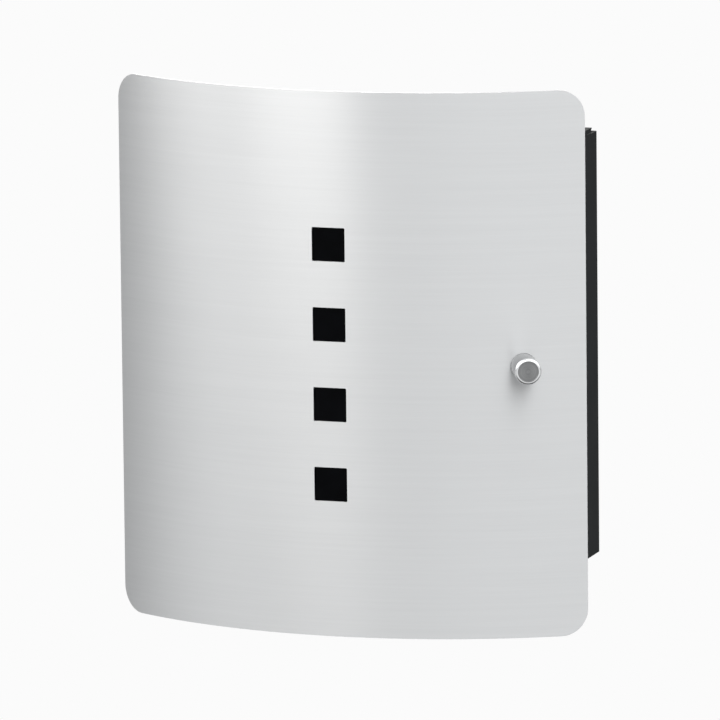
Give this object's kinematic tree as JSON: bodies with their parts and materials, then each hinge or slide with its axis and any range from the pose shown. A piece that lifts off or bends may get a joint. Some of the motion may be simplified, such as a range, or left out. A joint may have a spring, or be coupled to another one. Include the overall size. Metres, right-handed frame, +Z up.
{
  "type": "wall mounted mailbox",
  "caption": "Wall mounted mailbox: black steel casing with a posting flap in its top and a curved stainless door with square windows, hung on hinges and pulled open by a round knob.",
  "frame": {"origin": "on the back face, which lies on the wall, behind the middle of the door", "axes": "+Z up, +Y into the wall, so the door faces -Y and its hinges are on the -X side"},
  "size_m": [0.36, 0.1245, 0.405],
  "materials": {
    "brushed_stainless": "brushed along its width, satin",
    "black_powder_coat": "satin black powder coat",
    "satin_steel": "turned, satin face with a polished rim",
    "zinc_plate": "bright zinc plate",
    "smoked_acrylic": "dark smoked acrylic, glossy",
    "black_rubber": "moulded, matte",
    "black_plastic": "moulded, fine texture",
    "ferrite": "ground ferrite, matte"
  },
  "bodies": {
    "casing": {"casing_shell": "black_powder_coat", "casing_top": "black_powder_coat", "casing_bottom": "black_powder_coat", "casing_leaf_upper": "zinc_plate", "casing_leaf_lower": "zinc_plate", "hinge_pin_upper": "zinc_plate", "hinge_pin_lower": "zinc_plate", "hinge_rivet_upper_upper": "zinc_plate", "hinge_rivet_upper_lower": "zinc_plate", "hinge_rivet_lower_upper": "zinc_plate", "hinge_rivet_lower_lower": "zinc_plate", "flap_hinge_leaf": "zinc_plate", "flap_hinge_pin": "zinc_plate", "flap_rivet_1": "zinc_plate", "flap_rivet_2": "zinc_plate", "flap_rivet_3": "zinc_plate", "flap_rivet_4": "zinc_plate", "flap_bumper_left": "black_rubber", "flap_bumper_right": "black_rubber", "door_bumper_upper": "black_rubber", "door_bumper_lower": "black_rubber", "catch_bracket": "black_powder_coat", "catch_housing": "black_plastic", "catch_magnet": "ferrite", "pole_plate_left": "zinc_plate", "pole_plate_right": "zinc_plate", "catch_screw_upper": "zinc_plate", "catch_screw_lower": "zinc_plate"},
    "door": {"door_panel": "brushed_stainless", "window_strip": "smoked_acrylic", "window_rail_left": "brushed_stainless", "window_rail_right": "brushed_stainless", "window_stop": "brushed_stainless", "door_leaf_upper": "zinc_plate", "door_leaf_lower": "zinc_plate", "strike_bracket": "brushed_stainless", "strike_plate": "zinc_plate", "strike_rivet_upper": "zinc_plate", "strike_rivet_lower": "zinc_plate", "knob": "satin_steel", "knob_washer": "zinc_plate", "knob_screw": "zinc_plate"},
    "flap": {"posting_flap": "black_powder_coat"}
  },
  "joints": [
    {"name": "door_hinge", "type": "hinge", "parent": "casing", "child": "door", "pos_m": [-0.172, -0.06901, 0], "axis": [0, 0, -1], "range_deg": [0, 100]},
    {"name": "flap_hinge", "type": "hinge", "parent": "casing", "child": "flap", "pos_m": [0, -0.012, 0.1632], "axis": [-1, 0, 0], "range_deg": [0, 85]}
  ]
}
